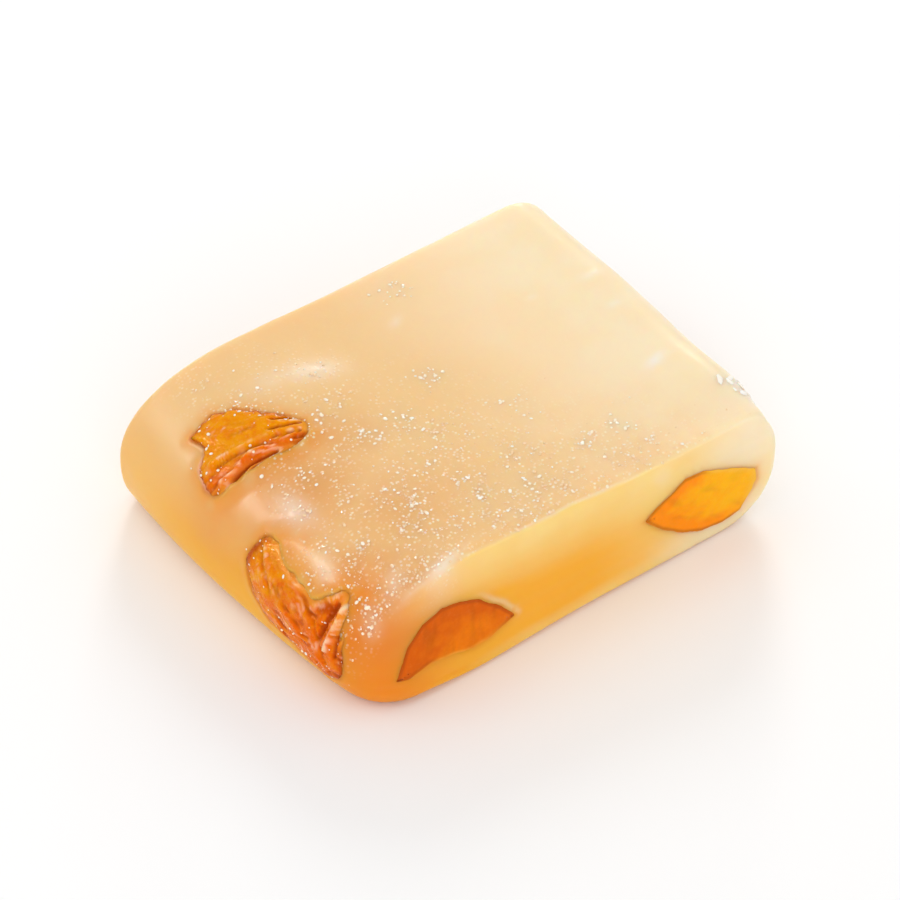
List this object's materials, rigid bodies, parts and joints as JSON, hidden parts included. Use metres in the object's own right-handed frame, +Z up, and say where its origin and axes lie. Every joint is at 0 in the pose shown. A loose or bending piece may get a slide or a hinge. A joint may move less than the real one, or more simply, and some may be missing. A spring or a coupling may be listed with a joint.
{
  "type": "fruit jelly sweet",
  "caption": "Pale amber fruit jelly sweet, a flat knife-cut block with rolled sides, frosted skin and candied fruit set in it, resting on its flat underside.",
  "frame": {"origin": "below the middle of the sweet, on the plane its flat underside rests on", "axes": "+X across the rolled bar the sweet was cut from, along its two cut faces; +Y along that bar, away from the front cut; +Z up"},
  "size_m": [0.038, 0.0286, 0.0111],
  "materials": {
    "jelly": "milky translucent fruit jelly, finely frosted and moist",
    "amber_fruit": "candied fruit, crumpled and glossy, or sliced smooth by the knife",
    "gold_fruit": "candied fruit of a lighter, yellower piece, sliced smooth by the knife"
  },
  "bodies": {
    "root": {"jelly": "jelly", "fruit_top_chunk": "amber_fruit", "fruit_side_curl": "amber_fruit", "fruit_right_chunk": "amber_fruit", "fruit_front_diamond": "gold_fruit", "fruit_front_fin": "amber_fruit", "fruit_back_slab": "amber_fruit", "fruit_back_sliver": "gold_fruit", "fruit_under_flake": "amber_fruit"}
  },
  "joints": []
}
